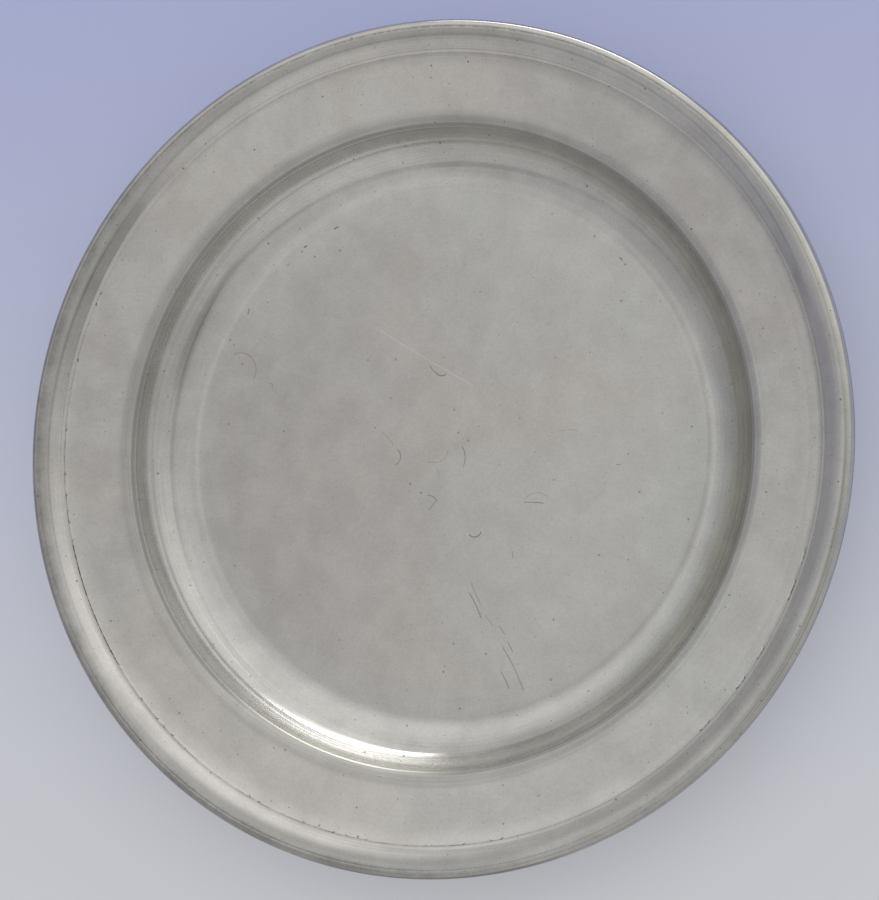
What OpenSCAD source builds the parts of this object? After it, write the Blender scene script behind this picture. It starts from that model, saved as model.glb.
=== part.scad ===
// Pewter plate: a dish of even sheet with a moulded border soldered round the face of its rim.
// Millimetres, +Z up, origin at the centre of the flat underside that the plate rests on.
// Every piece is turned about the Z axis, so each one is an outline of [radius, height] points.

/* [Dish] */
// Overall diameter of the plate
plate_d = 203; // [180:1:300]
// Thickness of the sheet that the dish is formed from
sheet_t = 1.6; // [1.2:0.1:2]
// Diameter of the crisp shoulder line where the rim drops into the well
shoulder_d = 153; // [110:0.2:160]
// Inside radius of the booge, the curve between the floor and the wall of the well
booge_r = 14.2; // [8:0.2:20]
// Steepest angle of the wall of the well, from level
wall_angle = 64; // [50:1:74]
// Length of the straight wall between the booge and the shoulder line
wall_len = 1.2; // [0.8:0.1:6]
// Rounding of the crisp shoulder line
shoulder_r = 0.5; // [0.2:0.1:0.7]
// Width of the soft band between the shoulder line and the rim
shoulder_w = 2.6; // [2:0.1:5]
// Slope of that soft band, from level
shoulder_slope = 20; // [12:1:30]
// Rounding where the soft band runs into the rim
shoulder_blend = 6; // [1:0.5:8]
// Slope of the rim, rising outwards
rim_slope = 6.5; // [2:0.5:10]
// Rounding of the lower edge of the rim
edge_r = 1.1; // [0.4:0.1:1.1]

/* [Border] */
// Width of the border, from the outer edge inwards
border_w = 7.7; // [6.5:0.1:12]
// Thickness of the border over the rim at the outer edge
border_h = 2.2; // [2:0.1:3]
// Width of the outer bead, as far as the middle of the groove
bead_w = 1.9; // [1.8:0.1:2.4]
// Rounding of the outer bead
bead_r = 1.5; // [0.8:0.1:1.5]
// Width of the groove between the bead and the crown
groove_w = 0.6; // [0.3:0.05:0.7]
// Depth of that groove
groove_d = 0.1; // [0.1:0.05:0.4]
// Slope of the crown where it leaves the groove, from level
crest_slope = 14; // [0:1:20]
// Rounding of the crown, which falls from the groove to the hollow foot
crown_r = 8; // [2:0.1:9]
// Steepest angle of the crown, from level
crown_slope = 35; // [30:1:60]
// Width of the foot that runs out flat from the crown to the inner edge
foot_w = 0.75; // [0.5:0.05:1.5]
// Hollow rounding between the crown and the foot
foot_r = 1.7; // [0.5:0.1:6]
// Thickness of the foot at its inner edge
lip_h = 0.3; // [0.3:0.05:0.6]

/* [Solder] */
// Undercut of the border's inner edge, which the solder runs into
undercut = 0.2; // [0.1:0.05:0.25]
// Leg of the solder fillet that lies on the rim
fillet_leg = 1.2; // [0.3:0.05:1.5]
// Depth of the notch under the border's outer edge, filled flush with solder
edge_notch = 0.4; // [0.3:0.05:0.45]
// Gap that solder fills where the two ends of the bent border strip meet
joint_gap = 0.3; // [0.2:0.05:0.6]
// Direction of that joint, anticlockwise from +X
joint_angle = 66; // [0:1:359]

/* [Hidden] */
$fn = 180;
// Turn of one step along a rounded corner
arc_step = 4;
pewter = [0.66, 0.65, 0.62];
border_pewter = [0.70, 0.69, 0.66];
solder = [0.76, 0.76, 0.74];

// Stretches where the inner seam is open, as [direction, width] in degrees, anticlockwise from +X
open_seams = [
  [155.6, 1.2], [162.4, 5], [179, 6], [187.5, 3.4], [202.4, 19.4], [220.6, 3.2], [225, 1.2],
  [241.9, 1], [252.6, 4], [258.5, 2.4], [272, 5], [279.7, 1], [314.6, 1], [322.5, 1.2],
  [327.5, 1], [337.3, 2], [342.2, 1]
];

plate_r = plate_d / 2;
shoulder_at = shoulder_d / 2;
shoulder_z = sheet_t + booge_r * (1 - cos(wall_angle)) + wall_len * sin(wall_angle);
rim_start = [shoulder_at + shoulder_w, shoulder_z + shoulder_w * tan(shoulder_slope)];
inner_r = plate_r - border_w;
groove_at = plate_r - bead_w;
crest_z = rim_z(plate_r) + border_h;
joint_turn = joint_gap / (plate_r - border_w / 2) * 180 / PI;

// Height of the rim's upper face at a radius
function rim_z(r) = rim_start.y + (r - rim_start.x) * tan(rim_slope);
function on_rim(r) = [r, rim_z(r)];

function unit(v) = v / norm(v);
function turned(v, a) = [v.x * cos(a) - v.y * sin(a), v.x * sin(a) + v.y * cos(a)];
// Point where the line through p at angle a meets the line through q at angle b
function meet(p, a, q, b) =
  p + ((q.x - p.x) * sin(b) - (q.y - p.y) * cos(b)) / sin(b - a) * [cos(a), sin(a)];
// Point one sheet below p, square to a line at angle a
function below(p, a) = p + sheet_t * [sin(a), -cos(a)];

// Points of one corner of an outline, given as [radius, height, rounding] with its two neighbours
function corner(before, at, after) =
  let (
    p = [at.x, at.y],
    back = unit([before.x, before.y] - p),
    ahead = unit([after.x, after.y] - p),
    half = acos(back * ahead) / 2,
    centre = p + unit(back + ahead) * at.z / sin(half),
    start = p + back * at.z / tan(half) - centre,
    side = cross(back, ahead) > 0 ? -1 : 1,
    sweep = 180 - 2 * half,
    steps = ceil(sweep / arc_step)
  )
  at.z == 0 ? [p] : [for (i = [0:steps]) centre + turned(start, side * sweep * i / steps)];

// Outline with every corner rounded to its own radius
function rounded(outline) =
  let (n = len(outline))
  [for (i = [0:n - 1]) each corner(outline[(i + n - 1) % n], outline[i], outline[(i + 1) % n])];

function plain(p) = [p.x, p.y, 0];
function round_to(p, r) = [p.x, p.y, r];

// Outline of the dish: the upper face outwards from the axis, then the underside back to it
function dish_outline() =
  let (
    shoulder = [shoulder_at, shoulder_z],
    floor_top = [0, sheet_t],
    wall_under = below(shoulder, wall_angle),
    band_under = below(shoulder, shoulder_slope),
    rim_under = below(rim_start, rim_slope)
  )
  [
    [0, 0, 0],
    plain(floor_top),
    round_to(meet(floor_top, 0, shoulder, wall_angle), booge_r),
    round_to(shoulder, shoulder_r),
    round_to(rim_start, shoulder_blend),
    plain(on_rim(plate_r)),
    round_to(meet(rim_under, rim_slope, [plate_r, 0], 90), edge_r),
    round_to(meet(band_under, shoulder_slope, rim_under, rim_slope), max(shoulder_blend - sheet_t, 0)),
    round_to(meet(wall_under, wall_angle, band_under, shoulder_slope), shoulder_r),
    round_to(meet([0, 0], 0, wall_under, wall_angle), booge_r + sheet_t)
  ];

// Outline of the border strip, which sits on the rim and ends flush with the edge of the dish.
// The hollow foot takes no more than the foot's width, and the crown what is then left of its slope.
function border_outline() =
  let (
    lip = on_rim(inner_r) + [0, lip_h],
    foot = on_rim(inner_r + foot_w) + [0, lip_h],
    crown = meet([groove_at, crest_z], crest_slope, foot, crown_slope),
    foot_turn = tan((crown_slope - rim_slope) / 2),
    foot_round = min(foot_r, foot_w / foot_turn),
    slope_left = norm(crown - foot) - foot_round * foot_turn,
    groove_in = [groove_at - groove_w / 2, crest_z - groove_w / 2 * tan(crest_slope)],
    crest_left = norm(groove_in - crown),
    crown_round = min(crown_r, min(slope_left, crest_left) / tan((crown_slope - crest_slope) / 2))
  )
  [
    plain(on_rim(inner_r + undercut)),
    plain(on_rim(plate_r - edge_notch)),
    plain(on_rim(plate_r) + [0, edge_notch]),
    [plate_r, crest_z, bead_r],
    [groove_at + groove_w / 2, crest_z, 0],
    [groove_at, crest_z - groove_d, 0],
    plain(groove_in),
    round_to(crown, crown_round),
    round_to(foot, foot_round),
    plain(lip),
    plain(on_rim(inner_r) + [0, undercut])
  ];

// Outline of the fillet in the inner seam: it fills the undercut and climbs the lip
function inner_seam_outline() = [
  on_rim(inner_r - fillet_leg),
  on_rim(inner_r + undercut),
  on_rim(inner_r) + [0, undercut],
  on_rim(inner_r) + [0, lip_h]
];

// Outline of the solder in the outer seam, flush with the edge
function outer_seam_outline() = [
  on_rim(plate_r - edge_notch),
  on_rim(plate_r),
  on_rim(plate_r) + [0, edge_notch]
];

// Turns an outline through part of a circle, from one direction to another
module turn_between(from, to, outline) {
  rotate([0, 0, from]) rotate_extrude(angle = to - from) polygon(outline);
}

module dish() {
  color(pewter) rotate_extrude() polygon(rounded(dish_outline()));
}

// The border is a moulded strip bent into a hoop, so it is open at its joint
module rim_border() {
  color(border_pewter)
    turn_between(
      joint_angle + joint_turn / 2, joint_angle - joint_turn / 2 + 360, rounded(border_outline())
    );
}

// One run of solder from each open stretch of the seam to the next one round
module inner_seam_solder() {
  n = len(open_seams);
  color(solder)
    for (i = [0:n - 1]) {
      gap = open_seams[i];
      next = open_seams[(i + 1) % n];
      lap = i == n - 1 ? 360 : 0;
      turn_between(gap[0] + gap[1] / 2, next[0] - next[1] / 2 + lap, inner_seam_outline());
    }
}

module outer_seam_solder() {
  color(solder) rotate_extrude() polygon(outer_seam_outline());
}

module joint_solder() {
  color(solder)
    turn_between(joint_angle - joint_turn / 2, joint_angle + joint_turn / 2, rounded(border_outline()));
}

dish();
rim_border();
inner_seam_solder();
outer_seam_solder();
joint_solder();
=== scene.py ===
# Pewter plate: a dish of worn satin pewter with a moulded border soldered round the face of its rim.
# The frame is in metres, +Z up, with its origin at the centre of the underside that the plate rests on.
# Outlines are in millimetres, as (radius, height) points that are turned about the Z axis.
import math

import bpy
from mathutils import Matrix, Vector, noise


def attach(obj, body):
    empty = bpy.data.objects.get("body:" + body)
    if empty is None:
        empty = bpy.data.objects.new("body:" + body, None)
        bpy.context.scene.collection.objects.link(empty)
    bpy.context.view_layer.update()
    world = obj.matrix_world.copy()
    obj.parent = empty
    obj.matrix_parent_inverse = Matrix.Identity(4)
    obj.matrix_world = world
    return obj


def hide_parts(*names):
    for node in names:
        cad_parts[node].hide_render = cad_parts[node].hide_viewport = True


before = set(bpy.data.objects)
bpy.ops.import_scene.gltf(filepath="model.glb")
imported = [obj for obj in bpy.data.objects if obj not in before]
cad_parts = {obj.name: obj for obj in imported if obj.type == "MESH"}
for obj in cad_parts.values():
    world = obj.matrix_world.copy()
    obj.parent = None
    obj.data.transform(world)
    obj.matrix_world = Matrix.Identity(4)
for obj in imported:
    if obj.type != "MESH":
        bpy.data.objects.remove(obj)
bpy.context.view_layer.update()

MM = 0.001

# Dish; its sizes, and those of the border and the solder below, are the solids' own
PLATE_R = 101.5
SHEET_T = 1.6
SHOULDER_AT = 76.5
BOOGE_R = 14.2
WALL_ANGLE = math.radians(64)
WALL_LEN = 1.2
SHOULDER_R = 0.5
SHOULDER_W = 2.6
SHOULDER_SLOPE = math.radians(20)
SHOULDER_BLEND = 6.0
RIM_SLOPE = math.radians(6.5)
EDGE_R = 1.1

# Border
BORDER_W = 7.7
BORDER_H = 2.2
BEAD_W = 1.9
BEAD_R = 1.5
GROOVE_W = 0.6
GROOVE_D = 0.1
CREST_SLOPE = math.radians(14)
CROWN_R = 8.0
CROWN_SLOPE = math.radians(35)
FOOT_W = 0.75
FOOT_R = 1.7
LIP_H = 0.3

# Solder
UNDERCUT = 0.2
FILLET_LEG = 1.2
EDGE_NOTCH = 0.4
JOINT_GAP = 0.3
JOINT_AT = math.radians(66)

# Stretches where the inner seam is open: direction and width in degrees, anticlockwise from +X,
# and how dark each one is, with grime and painted shade in the gap; and how soft their ends are
OPEN_SEAMS = (
    (155.6, 1.2, 0.2), (162.4, 5, 0.2), (179, 6, 0.3), (187.5, 3.4, 0.35), (202.4, 19.4, 1.0),
    (220.6, 3.2, 0.5), (225, 1.2, 0.35), (241.9, 1, 0.45), (252.6, 4, 0.5), (258.5, 2.4, 0.45),
    (272, 5, 0.5), (279.7, 1, 0.4), (314.6, 1, 0.8), (322.5, 1.2, 1.0), (327.5, 1, 1.0),
    (337.3, 2, 1.0), (342.2, 1, 0.9),
)
OPEN_SEAM_SOFT = 0.3

# Scratches on the floor of the well, in millimetres: three points along each one, its width
# and its darkness
SCRATCHES = (
    ((-4.6, 20.8), (-3.5, 19.3), (-2.5, 18.4), 0.14, 0.8),
    ((-2.5, 18.4), (-1.6, 18.0), (-0.2, 18.6), 0.18, 1.0),
    ((-16.2, 4.8), (-14.9, 3.5), (-13.4, 1.5), 0.10, 0.5),
    ((-13.1, 1.0), (-11.8, -1.2), (-13.1, -3.0), 0.14, 0.8),
    ((-5.0, -2.6), (-3.6, -2.7), (-2.1, -2.7), 0.12, 0.6),
    ((-2.1, -2.7), (-0.6, -1.6), (0.2, 0.2), 0.10, 0.5),
    ((3.4, 1.2), (4.4, -1.5), (4.0, -3.8), 0.14, 0.8),
    ((-2.6, -4.3), (-2.2, -5.3), (-2.2, -6.3), 0.12, 0.5),
    ((-5.4, -10.6), (-3.8, -10.8), (-2.8, -11.9), 0.14, 0.8),
    ((-2.8, -11.9), (-3.6, -12.8), (-4.8, -14.3), 0.12, 0.7),
    ((5.5, -20.3), (7.0, -20.8), (8.4, -19.3), 0.16, 1.0),
    ((18.8, -13.0), (21.5, -13.0), (24.2, -13.4), 0.14, 0.8),
    ((19.0, -12.6), (22.0, -10.8), (25.2, -12.1), 0.10, 0.5),
    ((16.4, -24.3), (16.2, -25.3), (16.0, -26.3), 0.12, 0.6),
    ((5.8, -31.3), (7.0, -34.3), (8.5, -37.2), 0.12, 0.6),
    ((5.8, -34.7), (7.0, -36.9), (8.5, -40.6), 0.14, 0.8),
    ((9.3, -39.4), (10.3, -40.7), (11.3, -42.1), 0.12, 0.5),
    ((12.6, -41.9), (13.5, -43.0), (14.3, -44.3), 0.12, 0.6),
    ((14.7, -45.5), (15.5, -46.9), (16.2, -48.4), 0.12, 0.7),
    ((13.3, -46.5), (16.5, -52.0), (19.1, -58.3), 0.13, 0.7),
    ((13.0, -52.5), (14.3, -54.7), (15.3, -57.1), 0.13, 0.8),
    ((-28.8, 54.8), (-28.3, 55.1), (-27.6, 55.4), 0.24, 1.0),
    ((-36.6, 50.7), (-36.2, 50.9), (-35.7, 51.1), 0.26, 1.0),
    ((-41.1, 46.3), (-40.6, 46.7), (-40.2, 47.1), 0.18, 0.6),
    ((-50.8, 36.5), (-50.8, 35.7), (-51.1, 34.9), 0.20, 0.9),
    ((-51.4, 25.3), (-49.8, 24.1), (-49.9, 18.5), 0.13, 0.7),
    ((-45.5, 18.0), (-44.7, 17.6), (-44.8, 16.5), 0.14, 0.6),
    ((42.8, 44.4), (43.1, 44.0), (43.5, 43.6), 0.24, 0.9),
    ((41.5, -4.7), (42.2, -4.7), (42.9, -4.8), 0.14, 0.6),
    ((28.0, 3.6), (30.3, 3.9), (32.6, 3.5), 0.10, 0.4),
)
# Bright scratch across the middle, in the same form
BRIGHT_SCRATCHES = (
    ((-17.4, 29.9), (-5.9, 22.6), (8.2, 14.4), 0.14, 0.5),
)
# Small dark pits, as points, and their size
PITS = (
    (-13.1, 22.4), (-20.1, 22.5), (-14.3, 13.1), (1.7, 9.8), (2.7, 4.2), (-9.4, -7.7), (-6.7, -9.9),
    (1.5, -46.0), (9.5, -48.6), (-1.0, -52.6), (3.0, -61.3), (26.2, -40.8), (25.5, -54.9),
    (-37.1, 49.7), (-27.3, 49.5), (-33.8, 48.3), (-55.6, 28.9), (-52.4, 22.9), (-55.8, 8.4),
    (-41.6, 6.1), (44.1, 42.6), (36.6, 49.7), (43.1, 34.0), (47.3, -11.3), (59.1, -18.1),
    (60.1, 3.6), (37.4, -25.9), (5.2, 2.2),
)
PIT_SIZE = 0.3
# Least bend of a scratch, so that a straight one is an arc too
LEAST_BEND = 0.02
# Specks all over, in layers from large to small: spacing, size, share of places taken and darkness
SPECKS = ((9.0, 0.28, 0.35, 1.0), (4.4, 0.19, 0.45, 0.85), (2.3, 0.13, 0.5, 0.6))
# Share of the pits' colour that a full mark takes, and share of the specks left on the worn floor
MARK_DARKNESS = 0.62
FLOOR_SPECKS = 0.6

# Colours of the metal, its yellowed places and painted warm reflections, its tarnish and painted shade,
# its pits, and its grime with the painted shade in its open seams
ROSY = (0.559, 0.536, 0.506, 1)
GREY = (0.545, 0.541, 0.515, 1)
YELLOWED_AND_WARM_REFLECTION = (0.545, 0.541, 0.468, 1)
TARNISH_AND_SHADE = (0.139, 0.139, 0.129, 1)
PIT_DARK = (0.090, 0.085, 0.076, 1)
GRIME_AND_GAP_SHADE_DARK = (0.035, 0.032, 0.028, 1)

# Paper that the plate lies on, in metres: its colours, where the near one gives way to the far one,
# its fibres, how it takes light, how much it glows, its radius and height, and the step of its edge
PAPER_NEAR = (0.84, 0.85, 0.89, 1)
PAPER_FAR = (0.54, 0.585, 0.88, 1)
PAPER_FADE = (-0.13, 0.14)
PAPER_FIBRE = (0.3, 0.3, 0.35, 1)
FIBRE_SCALE = 900.0
FIBRE_SHARE = 0.04
PAPER_SHADE = 0.5
PAPER_GLOW = 0.33
PAPER_ROUGHNESS = 0.85
PAPER_SPECULAR = 0.2
PAPER_SIZE = 4.0
PAPER_Z = -0.0001
PAPER_STEP = 0.05

# Soft light of the tent: turn and angle from overhead in degrees, tightness and strength of each lobe
TENT_BASE = (0.47, 0.47, 0.47)
TENT_LOBES = (
    (53, 61, 6.0, 0.605), (126, 42, 7.1, 0.426), (269, 59, 2.4, 0.246), (90, 80, 30.0, 0.784),
    (331, 42, 40.0, -0.190), (212, 19, 60.0, 0.112), (164, 24, 200.0, -0.112), (165, 34, 90.0, 0.11),
    (118, 13, 110.0, -0.078), (135, 29, 60.0, 0.056), (145, 10, 120.0, -0.075), (171, 16, 400.0, 0.03),
    (95, 20, 60.0, 0.06), (90, 36, 18.0, 0.06), (214, 57, 20.0, 0.06), (118, 76, 25.0, 0.07),
)
# One more lobe, with a colour for its strength
COOL_LOBE = (188, 75, 8.0, (-0.034, -0.034, 0.022))
# Overhead panel of the tent, by where its edges fall on a level plane one unit up, its dark frame
# and the softer dark beyond its left edge
PANEL_RIGHT = 0.68
PANEL_NEAR = -0.75
PANEL_LEFT = -0.345
FRAME_WIDTH = 0.10
FRAME_DARK = (-0.16, -0.16, -0.16)
LEFT_SOFT = 0.07
LEFT_DARK = (-0.08, -0.08, -0.077)
# Least height of a ray for that plane, so that level rays stay finite
LEAST_RISE = 0.05

# Soft box: its direction, distance and size in metres, and its radiance
KEY_TURN = math.radians(89.2)
KEY_RISE = math.radians(8.8)
KEY_AWAY = 2.5
KEY_WIDTH = 1.65
KEY_HEIGHT = 0.38
KEY_RADIANCE = 3.2

# Camera: lean from overhead and the side it leans to, distance, the point it aims at and how far right
# and down that is moved in the picture, in metres; sensor and lens in millimetres
CAMERA_LEAN = math.radians(19.33)
CAMERA_SIDE = math.radians(-18.96)
CAMERA_AWAY = 0.9486
CAMERA_AIM = (0, 0, 0.0142)
AIM_RIGHT = 0.00207
AIM_DOWN = 0.00114
SENSOR = 36
LENS = 161.48

# Fineness of the meshes
TURN_STEPS = 720
ARC_STEP = math.radians(2)
ARC_STEP_BOOGE = math.radians(1)
ARC_STEP_UNDER = math.radians(4)
LONGEST_STEP = 2.0
SHARP_ANGLE = math.radians(34)

SHOULDER_Z = SHEET_T + BOOGE_R * (1 - math.cos(WALL_ANGLE)) + WALL_LEN * math.sin(WALL_ANGLE)
RIM_START = (SHOULDER_AT + SHOULDER_W, SHOULDER_Z + SHOULDER_W * math.tan(SHOULDER_SLOPE))
INNER_R = PLATE_R - BORDER_W
GROOVE_AT = PLATE_R - BEAD_W
# Half the angle of the joint between the two ends of the border
JOINT_HALF = JOINT_GAP / (PLATE_R - BORDER_W / 2) / 2

# Wear and finish that are too fine for the solids, in millimetres.
# Radius of the worn floor, which has its own material, the painted gradient of its brightness with x and
# y, lighter towards the lower right as painted light, and the radii between which that fades out
FLOOR_WEAR_R = 64.0
PAINTED_FLOOR_GRADIENT = (0.00104, -0.0006, 0)
PAINTED_GRADIENT_END = (48.0, FLOOR_WEAR_R - 1.0)
# Strength of the smudges on the worn floor and elsewhere, and of the bright scratch
FLOOR_CLOUD = 0.06
CLOUD = 0.085
SCRATCH_GLEAM = 0.3
# Facet worn along the shoulder line: reach to each side and rounding of its edges
WORN_FACET = 0.22
WORN_EDGE_R = 0.12
# Radii between which turning waves begin in the booge and in the wall, and end
BOOGE_WAVES = (62, 68)
WALL_WAVES = (70.5, 73.5)
WAVES_END = (75.6, 76.8)
# Turned ridge in the wall: radius, half of its width and height
RIDGE_AT = 74.0
RIDGE_W = 0.3
RIDGE_H = 0.06
# Curl of the rim up to the border: where it starts, how fast it grows and where it ends under it
CURL_FROM = 90.0
CURL = 0.014
CURL_END = (INNER_R + 0.05, INNER_R + 0.6)
# Radii of the points along the rim's upper face, from the start of its curl to the edge
RIM_POINTS = (
    CURL_FROM, CURL_FROM + 1.3, CURL_FROM + 2.6, INNER_R - 0.35, INNER_R - 0.15, INNER_R,
    INNER_R + 0.3, INNER_R + 0.8, PLATE_R,
)
# Roundings of the groove's outer edge, its bottom and the border's lip
GROOVE_EDGE_R = 0.45
GROOVE_R = 0.3
LIP_R = 0.1
# The crown's and the foot's roundings stop just short of their neighbours
CROWN_SLACK = 0.99
FOOT_SLACK = 0.999
# Warp: bends as height, waves round the plate and shift; ripples as height, layer and size; and
# the heights between which it fades out towards the flat base
BENDS = ((0.08, 2, -0.7), (0.05, 3, 1.2))
RIPPLES = ((0.030, 40, 17), (0.010, 90, 6))
WARP_FROM = (0.1, 1.2)
# Solder runs: dip of the toe, reach into the metal, least size at the ends, fade at the ends and step
TOE_DIP = 0.006
SOLDER_SUNK = 0.02
RUN_END = 0.12
RUN_FADE = math.radians(0.8)
RUN_STEP = math.radians(0.4)
# Solder in the outer seam: how far it shrinks back and clears the notch's edges, and its grime
SHRINK = 0.04
NOTCH_CLEAR = 0.02
OUTER_GRIME = 0.15
# Solder in the joint: how far it laps over the border's ends and stands proud, and its grime
JOINT_LAP = 1.02
JOINT_PROUD = 0.004
JOINT_GRIME = 0.1
# Radii between which grime and painted shade grow on the rim before the open seam, and fade under the
# border
SEAM_GRIME_AND_SHADE = (INNER_R - 0.36, INNER_R)
SEAM_GRIME_AND_SHADE_END = (INNER_R + 0.6, INNER_R + 0.8)
# Grime in the border's groove: least, what is added on one side of the plate, and that side's direction
GROOVE_GRIME = 0.12
GROOVE_GRIME_MORE = 0.3
GROOVE_GRIME_AT = 1.7
# Height of the bump in the metal, in metres
BUMP = 2.5e-6


def rim_z(r):
    """Height of the rim's upper face at a radius, without its curl"""
    return RIM_START[1] + (r - RIM_START[0]) * math.tan(RIM_SLOPE)


CREST_Z = rim_z(PLATE_R) + BORDER_H


def on_rim(r, lift=0.0):
    """Point on the rim's upper face at a radius, or above it"""
    return (r, rim_z(r) + lift)


def smooth(lo, hi, x):
    """Smooth step from 0 at lo to 1 at hi"""
    t = min(max((x - lo) / (hi - lo), 0.0), 1.0)
    return t * t * (3 - 2 * t)


def moved(p, a, run):
    """Point at a distance from p, along a line at angle a"""
    return (p[0] + run * math.cos(a), p[1] + run * math.sin(a))


def meet(p, a, q, b):
    """Point where the line through p at angle a meets the line through q at angle b"""
    return moved(p, a, ((q[0] - p[0]) * math.sin(b) - (q[1] - p[1]) * math.cos(b)) / math.sin(b - a))


def below(p, a):
    """Point one sheet below p, square to a line at angle a"""
    return (p[0] + SHEET_T * math.sin(a), p[1] - SHEET_T * math.cos(a))


def corner(before, at, after, radius, step):
    """Points of one corner of an outline, rounded to a radius"""
    if radius == 0:
        return [tuple(at)]
    p = Vector(at)
    back = (Vector(before) - p).normalized()
    ahead = (Vector(after) - p).normalized()
    half = math.acos(back.dot(ahead)) / 2
    centre = p + (back + ahead).normalized() * radius / math.sin(half)
    start = p + back * radius / math.tan(half) - centre
    sweep = math.pi - 2 * half
    side = -1 if back.x * ahead.y - back.y * ahead.x > 0 else 1
    steps = math.ceil(sweep / step)
    turns = [side * sweep * i / steps for i in range(steps + 1)]
    return [tuple(centre + Matrix.Rotation(turn, 2) @ start) for turn in turns]


def rounded(outline, step, closed):
    """Outline of ((r, z), rounding) with every corner rounded and long straight parts divided"""
    n = len(outline)
    points = []
    for i, (at, radius) in enumerate(outline):
        ends = not closed and i in (0, n - 1)
        before, after = outline[i - 1][0], outline[(i + 1) % n][0]
        points += [tuple(at)] if ends else corner(before, at, after, radius, step)
    if closed:
        points.append(points[0])
    fine = [points[0]]
    for p, q in zip(points, points[1:]):
        parts = math.ceil(math.dist(p, q) / LONGEST_STEP)
        fine += [tuple(Vector(p).lerp(Vector(q), j / parts)) for j in range(1, parts + 1)]
    return fine[:-1] if closed else fine


def rim_curl(r):
    """How far the rim curls up above its straight slope as it nears the border"""
    return CURL * max(r - CURL_FROM, 0) ** 2 * (1 - smooth(*CURL_END, r))


def wave(run, height, length, shift):
    """Height of an even wave at a length along the outline"""
    return height * math.sin(2 * math.pi * run / length + shift)


def turning_wave(run, r):
    """Fine waves that turning left in the booge and the wall, by the length along the outline"""
    booge = wave(run, height=0.0035, length=1.3, shift=2.0 * math.sin(run / 2.1))
    booge += wave(run, height=0.0045, length=2.3, shift=1.0)
    wall = wave(run, height=0.004, length=0.9, shift=0.6) * smooth(*WALL_WAVES, r)
    ridge = RIDGE_H * math.exp(-((r - RIDGE_AT) / RIDGE_W) ** 2)
    return (booge * smooth(*BOOGE_WAVES, r) + wall) * (1 - smooth(*WAVES_END, r)) + ridge


def hand_turned(outline):
    """Upper face of the dish with its turning waves and the curl of its rim"""
    made = [outline[0]]
    run = 0.0
    for before, at, after in zip(outline, outline[1:], outline[2:]):
        run += math.dist(before, at)
        ahead = (Vector(after) - Vector(before)).normalized()
        lift = turning_wave(run, at[0])
        made.append((at[0] - ahead.y * lift, at[1] + ahead.x * lift + rim_curl(at[0])))
    return made + outline[-1:]


def dish_outline():
    """Upper face of the dish from the axis outwards, then its edge and underside back to it"""
    shoulder = (SHOULDER_AT, SHOULDER_Z)
    floor_top = (0, SHEET_T)
    wall_under = below(shoulder, WALL_ANGLE)
    band_under = below(shoulder, SHOULDER_SLOPE)
    rim_under = below(RIM_START, RIM_SLOPE)
    edge_under = meet(rim_under, RIM_SLOPE, (PLATE_R, 0), math.pi / 2)
    shoulder_under = meet(wall_under, WALL_ANGLE, band_under, SHOULDER_SLOPE)
    start_under = meet(band_under, SHOULDER_SLOPE, rim_under, RIM_SLOPE)
    upper = [
        (floor_top, 0),
        (meet(floor_top, 0, shoulder, WALL_ANGLE), BOOGE_R),
        (moved(shoulder, WALL_ANGLE, -WORN_FACET), WORN_EDGE_R),
        (moved(shoulder, SHOULDER_SLOPE, WORN_FACET), WORN_EDGE_R),
        (RIM_START, SHOULDER_BLEND),
        *((on_rim(r), 0) for r in RIM_POINTS),
    ]
    under = [
        (on_rim(PLATE_R), 0),
        (edge_under, EDGE_R),
        (start_under, SHOULDER_BLEND - SHEET_T),
        (shoulder_under, SHOULDER_R),
        (meet((0, 0), 0, wall_under, WALL_ANGLE), BOOGE_R + SHEET_T),
        ((0, 0), 0),
    ]
    face = hand_turned(rounded(upper, ARC_STEP_BOOGE, False))
    return face + rounded(under, ARC_STEP_UNDER, False)[1:]


def border_outline(lift=0.0):
    """Section of the border strip, from its inner lower edge round its outer edge and over its crown"""
    lip = on_rim(INNER_R, LIP_H)
    foot = on_rim(INNER_R + FOOT_W, LIP_H)
    crest = CREST_Z + lift
    crown = meet((GROOVE_AT, crest), CREST_SLOPE, foot, CROWN_SLOPE)
    foot_turn = math.tan((CROWN_SLOPE - RIM_SLOPE) / 2)
    foot_round = min(FOOT_R, FOOT_W / foot_turn)
    slope_left = math.dist(crown, foot) - foot_round * foot_turn
    groove_in = (GROOVE_AT - GROOVE_W / 2, crest - GROOVE_W / 2 * math.tan(CREST_SLOPE))
    crest_left = math.dist(groove_in, crown)
    crown_turn = math.tan((CROWN_SLOPE - CREST_SLOPE) / 2)
    crown_round = min(CROWN_R, min(slope_left, crest_left) / crown_turn * CROWN_SLACK)
    return rounded([
        (on_rim(INNER_R + UNDERCUT), 0),
        (on_rim(PLATE_R - EDGE_NOTCH), 0),
        (on_rim(PLATE_R, EDGE_NOTCH), 0),
        ((PLATE_R, crest), BEAD_R),
        ((GROOVE_AT + GROOVE_W / 2, crest), GROOVE_EDGE_R),
        ((GROOVE_AT, crest - GROOVE_D), GROOVE_R),
        (groove_in, 0),
        (crown, crown_round),
        (foot, foot_round * FOOT_SLACK),
        (lip, LIP_R),
        (on_rim(INNER_R, UNDERCUT), 0),
    ], ARC_STEP, True)


def warp(x, y, z):
    """Slight unevenness of hand-finished metal, in millimetres; the base stays flat"""
    share = math.hypot(x, y) / PLATE_R
    turn = math.atan2(y, x)
    bent = sum(high * share ** waves * math.cos(waves * turn + shift) for high, waves, shift in BENDS)
    ripple = sum(high * noise.noise(Vector((x, y, layer)) / size) for high, layer, size in RIPPLES)
    return (bent + ripple) * smooth(*WARP_FROM, z)


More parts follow.
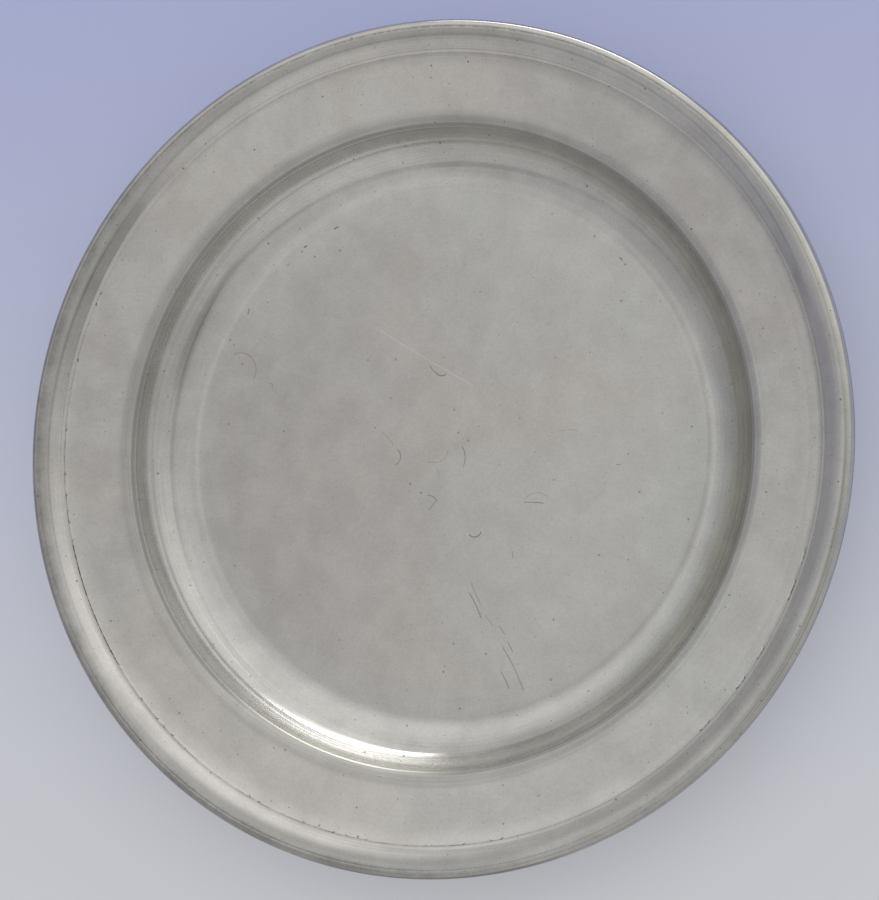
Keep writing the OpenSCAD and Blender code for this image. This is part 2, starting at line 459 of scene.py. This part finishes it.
def open_seam(turn):
    """How open the inner seam is in a direction, from 0 to 1"""
    degrees = math.degrees(turn) % 360
    most = 0.0
    for middle, width, darkness in OPEN_SEAMS:
        away = abs((degrees - middle + 180) % 360 - 180)
        ends = smooth(width / 2 - OPEN_SEAM_SOFT, width / 2 + OPEN_SEAM_SOFT, away)
        most = max(most, darkness * (1 - ends))
    return most


def make_object(name, points, faces, grime_and_gap_shade):
    """Mesh object from points in millimetres, with a value of grime and painted gap shade for each point
    """
    mesh = bpy.data.meshes.new(name)
    mesh.from_pydata([(x * MM, y * MM, (z + warp(x, y, z)) * MM) for x, y, z in points], [], faces)
    mesh.attributes.new("grime_and_gap_shade", "FLOAT", "POINT").data.foreach_set("value", grime_and_gap_shade)
    mesh.shade_smooth()
    mesh.set_sharp_from_angle(angle=SHARP_ANGLE)
    mesh.update()
    piece = bpy.data.objects.new(name, mesh)
    bpy.context.scene.collection.objects.link(piece)
    return piece


def turned(section, turn):
    """Points of a section set in a direction round the axis"""
    return [(r * math.cos(turn), r * math.sin(turn), z) for r, z in section]


def lathe_open(name, section, grime_and_gap_shade_at):
    """Full turn of a section that starts and ends on the axis"""
    rings = section[1:-1]
    k = len(rings)
    points = [(0, 0, section[0][1]), (0, 0, section[-1][1])]
    grime_and_gap_shade = [0.0, 0.0]
    for i in range(TURN_STEPS):
        turn = 2 * math.pi * i / TURN_STEPS
        points += turned(rings, turn)
        grime_and_gap_shade += [grime_and_gap_shade_at(r, z, turn) for r, z in rings]
    faces = []
    for i in range(TURN_STEPS):
        a = 2 + i * k
        b = 2 + (i + 1) % TURN_STEPS * k
        faces.append((0, a, b))
        faces += [(a + j, a + j + 1, b + j + 1, b + j) for j in range(k - 1)]
        faces.append((1, b + k - 1, a + k - 1))
    return make_object(name, points, faces, grime_and_gap_shade)


def lathe_closed(sections, turns, grime_and_gap_shade_at, ring=False):
    """Loft of closed sections, one for each direction; a ring joins its ends, a strip caps them"""
    k = len(sections[0])
    n = len(turns)
    points = []
    grime_and_gap_shade = []
    for section, turn in zip(sections, turns):
        points += turned(section, turn)
        grime_and_gap_shade += [grime_and_gap_shade_at(r, z, turn) for r, z in section]
    faces = []
    for i in range(n if ring else n - 1):
        a = i * k
        b = (i + 1) % n * k
        faces += [(a + j, b + j, b + (j + 1) % k, a + (j + 1) % k) for j in range(k)]
    if not ring:
        faces.append(tuple(range(k)))
        faces.append(tuple(range(n * k - 1, (n - 1) * k - 1, -1)))
    return points, faces, grime_and_gap_shade


def spread(start, end, step):
    """Even directions from start to end, no further apart than step"""
    parts = max(2, math.ceil((end - start) / step))
    return [start + (end - start) * i / parts for i in range(parts + 1)]


def make_dish():
    # Grime, and painted shade of the gap, on the rim before each open stretch of the inner seam
    def grime_and_gap_shade_at(r, z, turn):
        near = smooth(*SEAM_GRIME_AND_SHADE, r) * (1 - smooth(*SEAM_GRIME_AND_SHADE_END, r))
        return near * open_seam(turn) if z > RIM_START[1] else 0.0

    dish = lathe_open("dish_skin", dish_outline(), grime_and_gap_shade_at)
    for face in dish.data.polygons:
        x, y, _ = face.center / MM
        face.material_index = 0 if math.hypot(x, y) < FLOOR_WEAR_R and face.normal.z > 0 else 1
    return dish


def make_border():
    section = border_outline()
    turns = spread(JOINT_AT + JOINT_HALF, JOINT_AT + 2 * math.pi - JOINT_HALF, 2 * math.pi / TURN_STEPS)

    def grime_and_gap_shade_at(r, z, turn):
        on_top = smooth(CREST_Z - 0.6, CREST_Z - 0.3, z)
        in_groove = 1 - smooth(0.1, GROOVE_W * 0.7, abs(r - GROOVE_AT))
        in_groove *= GROOVE_GRIME + GROOVE_GRIME_MORE * smooth(0.2, 1, math.cos(turn - GROOVE_GRIME_AT))
        # The border's underside over an open stretch takes the same grime and painted shade
        in_seam = open_seam(turn) if r < INNER_R + 0.3 and z < rim_z(r) + LIP_H * 0.75 else 0.0
        return max(in_groove * on_top, in_seam)

    return make_object("border_hoop", *lathe_closed([section] * len(turns), turns, grime_and_gap_shade_at))


def wandering(turn, layer, scale):
    """Even noise along the rim, by the direction round the axis"""
    return noise.noise(Vector((math.cos(turn), math.sin(turn), layer)) * scale)


def seam_section(turn, taper):
    """Concave fillet of solder in the inner seam; its leg on the rim wanders along the seam"""
    wander = wandering(turn, layer=0.3, scale=22)
    leg = FILLET_LEG * (0.92 + 0.12 * wander) * taper
    climb = (LIP_H - rim_curl(INNER_R)) * (0.1 + 0.87 * taper)
    face = []
    for share in (1, 0.8, 0.6, 0.4, 0.2, 0):
        r = INNER_R + SOLDER_SUNK - (leg + SOLDER_SUNK) * (1 - share)
        face.append(on_rim(r, rim_curl(r) + climb * share ** 2 - TOE_DIP * (1 - share)))
    return face + [on_rim(INNER_R + UNDERCUT, -SOLDER_SUNK)]


def make_inner_seam():
    """Runs of solder from each open stretch of the seam to the next one round"""
    points, faces, grime_and_gap_shade = [], [], []
    for (at, width, _), (next_at, next_width, _) in zip(OPEN_SEAMS, OPEN_SEAMS[1:] + OPEN_SEAMS[:1]):
        lap = 360 if next_at < at else 0
        start = math.radians(at + width / 2)
        end = math.radians(next_at - next_width / 2 + lap)
        turns = spread(start, end, RUN_STEP)
        tapers = [smooth(0, RUN_FADE, t - start) * smooth(0, RUN_FADE, end - t) for t in turns]
        sections = [seam_section(t, max(taper, RUN_END)) for t, taper in zip(turns, tapers)]
        run_points, run_faces, run_grime = lathe_closed(
            sections, turns, lambda r, z, t, a=start, b=end: 1 - smooth(0, RUN_FADE, min(t - a, b - t))
        )
        first = len(points)
        points += run_points
        faces += [tuple(first + i for i in face) for face in run_faces]
        grime_and_gap_shade += run_grime
    return make_object("inner_seam_runs", points, faces, grime_and_gap_shade)


def make_outer_seam():
    turns = [2 * math.pi * i / TURN_STEPS for i in range(TURN_STEPS)]
    sections = []
    for turn in turns:
        shrink = SHRINK * (0.5 + 0.5 * wandering(turn, layer=2.0, scale=30))
        sections.append([
            on_rim(PLATE_R - EDGE_NOTCH),
            on_rim(PLATE_R - shrink, NOTCH_CLEAR),
            on_rim(PLATE_R - shrink, EDGE_NOTCH - NOTCH_CLEAR),
        ])
    band = lathe_closed(sections, turns, lambda r, z, t: OUTER_GRIME, ring=True)
    return make_object("outer_seam_band", *band)


def make_joint():
    turns = spread(JOINT_AT - JOINT_HALF * JOINT_LAP, JOINT_AT + JOINT_HALF * JOINT_LAP, JOINT_HALF)
    sections = [border_outline(JOINT_PROUD)] * len(turns)
    return make_object("joint_fill", *lathe_closed(sections, turns, lambda r, z, t: JOINT_GRIME))


class Nodes:
    """Node tree of a material or of the world, with short ways to add its nodes"""

    def __init__(self, owner):
        owner.use_nodes = True
        self.nodes = owner.node_tree.nodes
        self.links = owner.node_tree.links

    def put(self, socket, value):
        """Sets a socket to a value, or links another socket to it"""
        if isinstance(value, bpy.types.NodeSocket):
            self.links.new(value, socket)
        else:
            socket.default_value = value

    def add(self, kind, inputs=(), **settings):
        """Adds a node; inputs are (socket, value or linked socket) pairs"""
        node = self.nodes.new(kind)
        for key, value in settings.items():
            setattr(node, key, value)
        for key, value in dict(inputs).items():
            self.put(node.inputs[key], value)
        return node

    def math(self, operation, *values):
        return self.add("ShaderNodeMath", enumerate(values), operation=operation).outputs[0]

    def product(self, *values):
        """Product of two or more values"""
        total = values[0]
        for value in values[1:]:
            total = self.math("MULTIPLY", total, value)
        return total

    def most(self, *values):
        """Greatest of one or more values"""
        total = values[0]
        for value in values[1:]:
            total = self.math("MAXIMUM", total, value)
        return total

    def vector(self, operation, *values, output=0):
        return self.add("ShaderNodeVectorMath", enumerate(values), operation=operation).outputs[output]

    def scaled(self, vector, scale):
        inputs = {0: vector, "Scale": scale}
        return self.add("ShaderNodeVectorMath", inputs, operation="SCALE").outputs[0]

    def noise(self, place, scale, detail):
        inputs = {"Vector": place, "Scale": scale, "Detail": detail}
        return self.add("ShaderNodeTexNoise", inputs).outputs["Fac"]

    def ease(self, value, lo, hi, to_lo=0.0, to_hi=1.0):
        """Smooth step of a value from lo to hi, given as to_lo and to_hi"""
        inputs = {"Value": value, "From Min": lo, "From Max": hi, "To Min": to_lo, "To Max": to_hi}
        return self.add("ShaderNodeMapRange", inputs, interpolation_type="SMOOTHSTEP").outputs["Result"]

    def close_to(self, value, at, full, none, most):
        """Falls from most to nothing as a value gets further from at, between two distances"""
        off = self.math("ABSOLUTE", self.math("SUBTRACT", value, at))
        return self.ease(off, full, none, most, 0.0)

    def towards(self, turn, degrees, lo, hi, to_lo=0.0, to_hi=1.0):
        """Smooth step, from lo to hi, of the cosine of the angle from a direction to a fixed one"""
        facing = self.math("COSINE", self.math("SUBTRACT", turn, math.radians(degrees)))
        return self.ease(facing, lo, hi, to_lo, to_hi)

    def mix(self, share, first, second):
        return self.add(
            "ShaderNodeMix", {"Factor": share, 6: first, 7: second}, data_type="RGBA"
        ).outputs[2]


def arc_through(a, b, c):
    """Centre and radius of the circle through three points"""
    d = 2 * (a[0] * (b[1] - c[1]) + b[0] * (c[1] - a[1]) + c[0] * (a[1] - b[1]))
    if abs(d) < LEAST_BEND:
        d = LEAST_BEND
    sq = [p[0] ** 2 + p[1] ** 2 for p in (a, b, c)]
    x = (sq[0] * (b[1] - c[1]) + sq[1] * (c[1] - a[1]) + sq[2] * (a[1] - b[1])) / d
    y = (sq[0] * (c[0] - b[0]) + sq[1] * (a[0] - c[0]) + sq[2] * (b[0] - a[0])) / d
    return (x, y), math.dist((x, y), b)


def scratch_mask(n, place, scratches):
    """Mask of all scratches at a place in millimetres"""
    masks = []
    for a, b, c, width, depth in scratches:
        centre, radius = arc_through(a, b, c)
        reach = max(math.dist(a, b), math.dist(b, c))
        off = n.vector("DISTANCE", place, (*centre, 0), output=1)
        line = n.close_to(off, radius, width * 0.4, width * 1.3, depth)
        along = n.vector("DISTANCE", place, (*b, 0), output=1)
        masks.append(n.product(line, n.ease(along, reach * 0.75, reach, 1.0, 0.0)))
    return n.most(*masks)


def pit_mask(n, place):
    """Mask of the larger pits at a place in millimetres"""
    masks = []
    for at in PITS:
        off = n.vector("DISTANCE", place, (*at, 0), output=1)
        masks.append(n.ease(off, PIT_SIZE * 0.3, PIT_SIZE * 1.4, 0.8, 0.0))
    return n.most(*masks)


def speck_mask(n, place, spacing, size, share, depth):
    """Mask of small round specks, one in a share of the cells of a loose grid seen from above"""
    inputs = {"Vector": place, "Scale": 1 / spacing}
    cells = n.add("ShaderNodeTexVoronoi", inputs, voronoi_dimensions="2D")
    chance = n.add("ShaderNodeSeparateColor", {0: cells.outputs["Color"]}).outputs[0]
    spot = n.ease(cells.outputs["Distance"], size * 0.6 / spacing, size * 1.2 / spacing, depth, 0.0)
    return n.product(spot, n.ease(chance, 1 - share, 1.0, 0.0, 1.0))


def tarnish_and_shade_mask(n, point, radius, turn, height, streaks):
    """Tarnish and painted shade on the shoulder, the bead, the crown, the outer edge and both sides of
    the inner seam
    """
    # Painted shade: a soft, streaky dark band outside the shoulder line, stronger towards the bottom and
    # weaker to the right, and a dark line along the shoulder itself, weaker at the lower left where the
    # light falls
    ring = n.product(
        n.close_to(radius, SHOULDER_AT + 2.0, 0.2, 2.6, 0.28),
        n.ease(streaks, 0.3, 0.7, 0.75, 1.15),
        n.towards(turn, 10, 0.3, 0.9, 1.0, 0.7),
        n.towards(turn, -80, 0.6, 0.95, 1.0, 1.4),
    )
    # Painted shade along the shoulder line
    painted_crease_shade = n.close_to(radius, SHOULDER_AT + 0.5, 0.2, 0.9, 0.58)
    painted_crease_shade = n.product(painted_crease_shade, n.towards(turn, -110, 0.90, 0.985, 1.0, 0.25))

    # Bead and groove: mottled tarnish, with painted shade heaviest away from the upper right where the
    # light falls; painted shade on the crown's top towards the lower left, upper left and lower right;
    # painted shade on the lower outer face of the edge, and a painted shadow on the edge at the bottom
    mottle = n.noise(point, 0.8, 4.0)
    # Mottled tarnish on the bead and groove, with painted shade away from the upper right
    bead_tarnish_and_shade = n.product(
        n.ease(radius, GROOVE_AT - 3.2, GROOVE_AT + 0.2, 0.0, 0.56),
        n.ease(radius, GROOVE_AT + 0.1, GROOVE_AT + 0.7, 1.0, 0.78),
        n.towards(turn, -62, 0.85, 0.98, 1.0, 0.65),
        n.ease(height, CREST_Z - 2.4, CREST_Z - 0.4, 0.85, 1.0),
        n.towards(turn, 45, -0.3, 0.6, 1.0, 0.05),
        n.ease(mottle, 0.3, 0.7, 1.08, 0.88),
        n.ease(n.noise(point, 0.12, 3.0), 0.35, 0.65, 1.15, 0.8),
    )
    # Painted shade on the crown's top
    crown = n.product(
        n.close_to(radius, GROOVE_AT - 1.0, 0.6, 2.8, 0.46),
        n.ease(radius, GROOVE_AT - 0.6, GROOVE_AT, 1.0, 0.0),
        n.most(
            n.towards(turn, -107, 0.7, 0.95),
            n.towards(turn, 117, 0.6, 0.9, 0.0, 0.55),
            n.towards(turn, -47, 0.85, 0.96, 0.0, 0.35),
        ),
    )
    # Painted shade on the lower outer face of the edge
    side = n.product(
        n.ease(radius, PLATE_R - 0.6, PLATE_R - 0.2, 0.0, 0.35),
        n.ease(height, CREST_Z - 2.2, CREST_Z - 1.2, 1.0, 0.0),
    )
    # Painted shadow on the outer edge at the bottom
    painted_shadow_on_bottom_edge = n.product(
        n.ease(radius, PLATE_R - 0.7, PLATE_R - 0.2, 0.0, 0.72),
        n.towards(turn, -90, 0.9, 0.985),
    )

    # Inner seam: a line and a hairline along it, the rim beside it at the top and at the right, and the
    # border's toe over it
    line = n.product(
        n.close_to(radius, INNER_R - 0.05, 0.12, 0.42, 0.22),
        n.towards(turn, 35, -0.4, 0.5, 0.05, 1.0),
        n.ease(mottle, 0.35, 0.65, 0.5, 1.1),
    )
    hairline = n.product(
        n.close_to(radius, INNER_R - 0.02, 0.05, 0.22, 0.5),
        n.ease(n.noise(point, 0.3, 2.0), 0.4, 0.6, 0.35, 1.0),
        n.towards(turn, -130, 0.2, 0.75),
    )
    foot = n.product(
        n.ease(radius, INNER_R - 3.5, INNER_R - 1.0, 0.0, 0.16),
        n.ease(radius, INNER_R, INNER_R + 0.4, 1.0, 0.0),
        n.towards(turn, 72, 0.65, 0.95),
    )
    shallow = n.product(
        n.close_to(radius, INNER_R - 1.8, 0.8, 1.8, 0.14),
        n.towards(turn, -10, 0.6, 0.9),
    )
    toe = n.product(
        n.ease(radius, INNER_R - 0.15, INNER_R + 0.1, 0.0, 0.32),
        n.ease(radius, INNER_R + 0.7, INNER_R + 1.2, 1.0, 0.0),
        n.towards(turn, -12, 0.3, 0.75),
    )

    # Inner flank of the bead at the lower right
    by_bead = n.product(
        n.close_to(radius, GROOVE_AT + 0.4, 0.12, 0.6, 0.42),
        n.towards(turn, -26, 0.8, 0.97),
        n.ease(height, CREST_Z - 0.6, CREST_Z - 0.3),
    )
    return n.most(
        ring, painted_crease_shade, bead_tarnish_and_shade, crown, side, painted_shadow_on_bottom_edge, line, hairline, foot, shallow, toe, by_bead,
    )


def pewter(name, roughness, worn_floor=False):
    """Worn satin pewter: turned lines, smudges, specks, tarnish and painted shade, yellowed places and
    painted warm reflections, wiped places and painted light, grime and painted gap shade
    """
    material = bpy.data.materials.new(name)
    n = Nodes(material)
    point = n.scaled(n.add("ShaderNodeTexCoord").outputs["Object"], 1 / MM)
    flat = n.vector("MULTIPLY", point, (1, 1, 0))
    radius = n.vector("LENGTH", flat, output=1)
    axes = n.add("ShaderNodeSeparateXYZ", {0: point}).outputs
    turn = n.math("ARCTAN2", axes[1], axes[0])
    height = axes[2]

    # Turned lines: long streaks round the axis, a millimetre or two apart
    streak_at = {0: n.math("ADD", radius, height), 1: n.product(turn, 0.7)}
    streak_place = n.add("ShaderNodeCombineXYZ", streak_at).outputs[0]
    streaks = n.noise(streak_place, 0.9, 3.0)
    lines = n.math("SUBTRACT", n.ease(n.noise(streak_place, 2.1, 2.0), 0.28, 0.72), 0.5)
    lines = n.product(lines, n.most(
        n.close_to(radius, SHOULDER_AT - 2.0, 2.0, 8.0, 0.12),
        n.ease(radius, INNER_R, INNER_R + 1.0, 0.01, 0.08),
    ))

    # The wall of the well; smudges from large to small; then specks, pits and scratches
    wall = n.close_to(radius, SHOULDER_AT - 1.6, 0.6, 3.4, 1.0)
    blotch = n.ease(n.noise(point, 0.024, 2.5), 0.36, 0.64)
    cloud = n.ease(n.noise(point, 0.10, 3.0), 0.35, 0.65)
    grain = n.noise(point, 1.1, 3.0)
    fine = n.noise(point, 2.4, 2.0)
    marks = n.most(*(speck_mask(n, point, *layer) for layer in SPECKS))
    bright = n.product(cloud, FLOOR_CLOUD if worn_floor else CLOUD)
    if worn_floor:
        # Painted light: the worn floor grows lighter towards the lower right
        painted_gradient = n.vector("DOT_PRODUCT", flat, PAINTED_FLOOR_GRADIENT, output=1)
        bright = n.math("MULTIPLY_ADD", painted_gradient, n.ease(radius, *PAINTED_GRADIENT_END, 1.0, 0.0), bright)
        marks = n.product(marks, FLOOR_SPECKS)
        marks = n.most(marks, scratch_mask(n, flat, SCRATCHES), pit_mask(n, flat))
        gleam = scratch_mask(n, flat, BRIGHT_SCRATCHES)
        bright = n.math("MULTIPLY_ADD", gleam, SCRATCH_GLEAM, bright)
    shade = n.product(
        n.math("ADD", bright, 0.96),
        n.ease(n.noise(point, 0.28, 2.0), 0.3, 0.7, 0.98, 1.02),
        n.math("ADD", lines, 1.0),
        n.ease(grain, 0.25, 0.75, 0.975, 1.025),
        n.ease(fine, 0.25, 0.75, 0.965, 1.035),
    )
    # Grime in the groove and seams, with painted shade in the open stretches of the inner seam
    grime_and_gap_shade = n.add("ShaderNodeAttribute", attribute_name="grime_and_gap_shade").outputs["Fac"]
    grime_and_gap_shade = n.product(grime_and_gap_shade, n.ease(n.noise(point, 0.9, 3.0), 0.32, 0.6, 0.55, 1.15))
    grime_and_gap_shade = n.ease(grime_and_gap_shade, 0.04, 1.05)

    # Scuffed on the right; yellowed on the bead at the right, with a painted warm reflection in the wall
    # and the booge at the right and on the shoulder at the lower left; greyer in patches and in the wall;
    # lighter in a few places, partly worn and partly painted light
    scuffed_and_reflection_tinted = n.product(
        n.close_to(radius, SHOULDER_AT - 3.2, 1.4, 5.0, 1.0),
        n.towards(turn, 15, 0.0, 0.6),
    )
    # Yellowed bead at the right; painted warm reflection in the wall and the booge at the right and on
    # the shoulder at the lower left
    yellowed_and_warm_reflection = n.most(
        n.product(scuffed_and_reflection_tinted, n.towards(turn, 5, 0.5, 0.95, 0.35, 1.0)),
        n.product(
            n.close_to(radius, SHOULDER_AT - 6.0, 1.0, 3.0, 0.9),
            n.towards(turn, 8, 0.6, 0.95),
        ),
        n.product(
            n.ease(radius, GROOVE_AT - 0.3, GROOVE_AT + 0.3, 0.0, 0.4),
            n.towards(turn, 15, 0.2, 0.8),
        ),
        n.product(
            n.close_to(radius, SHOULDER_AT - 0.2, 0.7, 1.3, 0.4),
            n.towards(turn, -107, 0.86, 0.97),
        ),
    )
    cool = n.product(
        blotch,
        n.towards(turn, -160, -0.3, 0.8, 1.0, 0.25),
        n.ease(radius, 30.0, 55.0, 0.6, 1.0),
    )
    cool = n.most(cool, wall, n.close_to(radius, FLOOR_WEAR_R + 1.0, 3.5, 9.0, 0.65))
    # Painted light: the wall lighter towards the bottom and the rim lighter beside the seam at the lower
    # left; a worn ring round the edge of the worn floor, lighter, and painted darker towards the lower
    # right
    wiped_and_painted_light = n.product(wall, n.towards(turn, -75, 0.55, 0.95, 0.02, 0.30))
    wiped_and_painted_light = n.math("ADD", wiped_and_painted_light, n.product(
        n.close_to(radius, FLOOR_WEAR_R + 0.5, 0.5, 2.2, 0.05),
        n.towards(turn, -47, 0.6, 0.9, 1.0, -1.2),
    ))
    wiped_and_painted_light = n.math("ADD", wiped_and_painted_light, n.product(
        n.close_to(radius, INNER_R - 0.8, 1.0, 4.5, 0.12),
        n.towards(turn, -152, 0.75, 0.97),
    ))
    shade = n.product(shade, n.math("ADD", wiped_and_painted_light, 1.0))

    colour = n.mix(yellowed_and_warm_reflection, n.mix(cool, ROSY, GREY), YELLOWED_AND_WARM_REFLECTION)
    colour = n.scaled(colour, shade)
    # Tarnish, with painted shade along the shoulder, on the border and on the edge
    colour = n.mix(tarnish_and_shade_mask(n, point, radius, turn, height, streaks), colour, TARNISH_AND_SHADE)
    colour = n.mix(n.product(marks, MARK_DARKNESS), colour, PIT_DARK)
    # Darkened by grime, and by painted shade in the open seams
    colour = n.mix(grime_and_gap_shade, colour, GRIME_AND_GAP_SHADE_DARK)

    rough = roughness
    rougher = (cloud, 0.04), (streaks, 0.03), (marks, 0.2), (grime_and_gap_shade, 0.3), (wall, 0.14), (scuffed_and_reflection_tinted, 0.16)
    for place, added in rougher:
        rough = n.math("MULTIPLY_ADD", place, added, rough)
    rough = n.math("ADD", rough, n.close_to(radius, SHOULDER_AT + 0.1, 0.35, 0.9, 0.10))

    relief = n.math("MULTIPLY_ADD", grain, 0.35, streaks)
    relief = n.product(relief, n.math("MULTIPLY_ADD", wall, -0.75, 1.0))
    relief = n.math("MULTIPLY_ADD", marks, -2.0, relief)
    bump = n.add("ShaderNodeBump", {"Height": relief, "Strength": 1.0, "Distance": BUMP})

    surface = n.nodes["Principled BSDF"].inputs
    n.put(surface["Base Color"], colour)
    n.put(surface["Metallic"], n.math("MULTIPLY_ADD", grime_and_gap_shade, -0.8, 1.0))
    n.put(surface["Roughness"], rough)
    n.put(surface["Normal"], bump.outputs["Normal"])
    return material


def floor_paper():
    """Plain pale paper, lilac at the far side and grey at the near one, that glows a little to the eye"""
    material = bpy.data.materials.new("floor_paper")
    n = Nodes(material)
    place = n.add("ShaderNodeTexCoord").outputs["Object"]
    beyond = n.add("ShaderNodeSeparateXYZ", {0: place}).outputs[1]
    colour = n.mix(n.ease(beyond, *PAPER_FADE), PAPER_NEAR, PAPER_FAR)
    colour = n.mix(n.product(n.noise(place, FIBRE_SCALE, 3.0), FIBRE_SHARE), colour, PAPER_FIBRE)
    path = n.add("ShaderNodeLightPath").outputs
    seen = n.most(path["Is Camera Ray"], path["Is Glossy Ray"], path["Is Transmission Ray"])
    surface = n.nodes["Principled BSDF"].inputs
    n.put(surface["Base Color"], n.scaled(colour, PAPER_SHADE))
    n.put(surface["Emission Color"], colour)
    n.put(surface["Emission Strength"], n.product(seen, PAPER_GLOW))
    n.put(surface["Roughness"], PAPER_ROUGHNESS)
    n.put(surface["Specular IOR Level"], PAPER_SPECULAR)
    return material


def make_floor():
    mesh = bpy.data.meshes.new("floor")
    turns = spread(0, 2 * math.pi, PAPER_STEP)[:-1]
    ring = [(PAPER_SIZE * math.cos(t), PAPER_SIZE * math.sin(t), PAPER_Z) for t in turns]
    mesh.from_pydata(ring, [], [tuple(range(len(ring)))])
    mesh.update()
    floor = bpy.data.objects.new("floor", mesh)
    bpy.context.scene.collection.objects.link(floor)
    floor.data.materials.append(floor_paper())


def add_lobe(n, light, ray, turn, down, tightness, colour):
    """Adds a soft patch of light round one direction of the tent"""
    t, d = math.radians(turn), math.radians(down)
    axis = (math.cos(t) * math.sin(d), math.sin(t) * math.sin(d), math.cos(d))
    facing = n.vector("DOT_PRODUCT", ray, axis, output=1)
    share = n.math("EXPONENT", n.math("MULTIPLY_ADD", facing, tightness, -tightness))
    return n.vector("ADD", light, n.scaled(colour, share))


def make_tent():
    """World light as a soft tent with an overhead panel"""
    world = bpy.data.worlds.new("tent")
    bpy.context.scene.world = world
    n = Nodes(world)
    ray = n.vector("NORMALIZE", n.add("ShaderNodeTexCoord").outputs["Generated"])
    light = TENT_BASE
    for turn, down, tightness, strength in TENT_LOBES:
        light = add_lobe(n, light, ray, turn, down, tightness, (strength,) * 3)
    light = add_lobe(n, light, ray, *COOL_LOBE)

    axes = n.add("ShaderNodeSeparateXYZ", {0: ray}).outputs
    over = n.math("MAXIMUM", axes[2], LEAST_RISE)
    across = n.math("DIVIDE", axes[0], over)
    beyond = n.math("DIVIDE", axes[1], over)
    past = n.most(n.math("SUBTRACT", across, PANEL_RIGHT), n.math("SUBTRACT", PANEL_NEAR, beyond))
    past = n.math("DIVIDE", past, FRAME_WIDTH)
    frame_share = n.math("EXPONENT", n.product(past, past, -1.0))
    light = n.vector("ADD", light, n.scaled(FRAME_DARK, frame_share))
    left_share = n.ease(across, PANEL_LEFT + LEFT_SOFT, PANEL_LEFT - LEFT_SOFT)
    light = n.vector("ADD", light, n.scaled(LEFT_DARK, left_share))
    n.put(n.nodes["Background"].inputs["Color"], light)


def direction(turn, out, up):
    """Direction round the Z axis with a share outwards and a share upwards"""
    return Vector((math.cos(turn) * out, math.sin(turn) * out, up))


def make_key():
    """Long low soft box beyond the far edge of the plate"""
    lamp = bpy.data.lights.new("key", "AREA")
    lamp.shape = "ELLIPSE"
    lamp.size = KEY_WIDTH
    lamp.size_y = KEY_HEIGHT
    lamp.energy = KEY_RADIANCE * math.pi * (math.pi / 4 * KEY_WIDTH * KEY_HEIGHT)
    key = bpy.data.objects.new("key", lamp)
    key.location = KEY_AWAY * direction(KEY_TURN, math.cos(KEY_RISE), math.sin(KEY_RISE))
    key.rotation_euler = key.location.to_track_quat("Z", "Y").to_euler()
    key.visible_camera = False
    bpy.context.scene.collection.objects.link(key)


def make_camera():
    """Camera at the photo's angle, nearly square to the plate, with the plate's +Y up"""
    back = direction(CAMERA_SIDE, math.sin(CAMERA_LEAN), math.cos(CAMERA_LEAN))
    up = Vector((0, 1, 0))
    up = (up - back * up.dot(back)).normalized()
    right = up.cross(back)
    aim = Vector(CAMERA_AIM) + right * AIM_RIGHT - up * AIM_DOWN
    data = bpy.data.cameras.new("camera")
    data.sensor_fit = "VERTICAL"
    data.sensor_height = SENSOR
    data.lens = LENS
    camera = bpy.data.objects.new("camera", data)
    turn = Matrix((right, up, back)).transposed()
    camera.matrix_world = Matrix.Translation(aim + back * CAMERA_AWAY) @ turn.to_4x4()
    bpy.context.scene.collection.objects.link(camera)
    bpy.context.scene.camera = camera


def dress(piece, materials, node):
    """Gives a piece its materials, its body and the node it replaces"""
    for material in materials:
        piece.data.materials.append(material)
    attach(piece, "root")
    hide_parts(node)


bpy.context.scene.view_settings.view_transform = "Standard"
make_camera()
make_floor()
make_tent()
make_key()

floor_pewter = pewter("floor_pewter", roughness=0.10, worn_floor=True)
dish_pewter = pewter("dish_pewter", roughness=0.09)
border_pewter = pewter("border_pewter", roughness=0.09)
solder = pewter("seam_solder", roughness=0.22)
dress(make_dish(), (floor_pewter, dish_pewter), "dish")
dress(make_border(), (border_pewter,), "rim_border")
dress(make_inner_seam(), (solder,), "inner_seam_solder")
dress(make_outer_seam(), (solder,), "outer_seam_solder")
dress(make_joint(), (border_pewter,), "joint_solder")
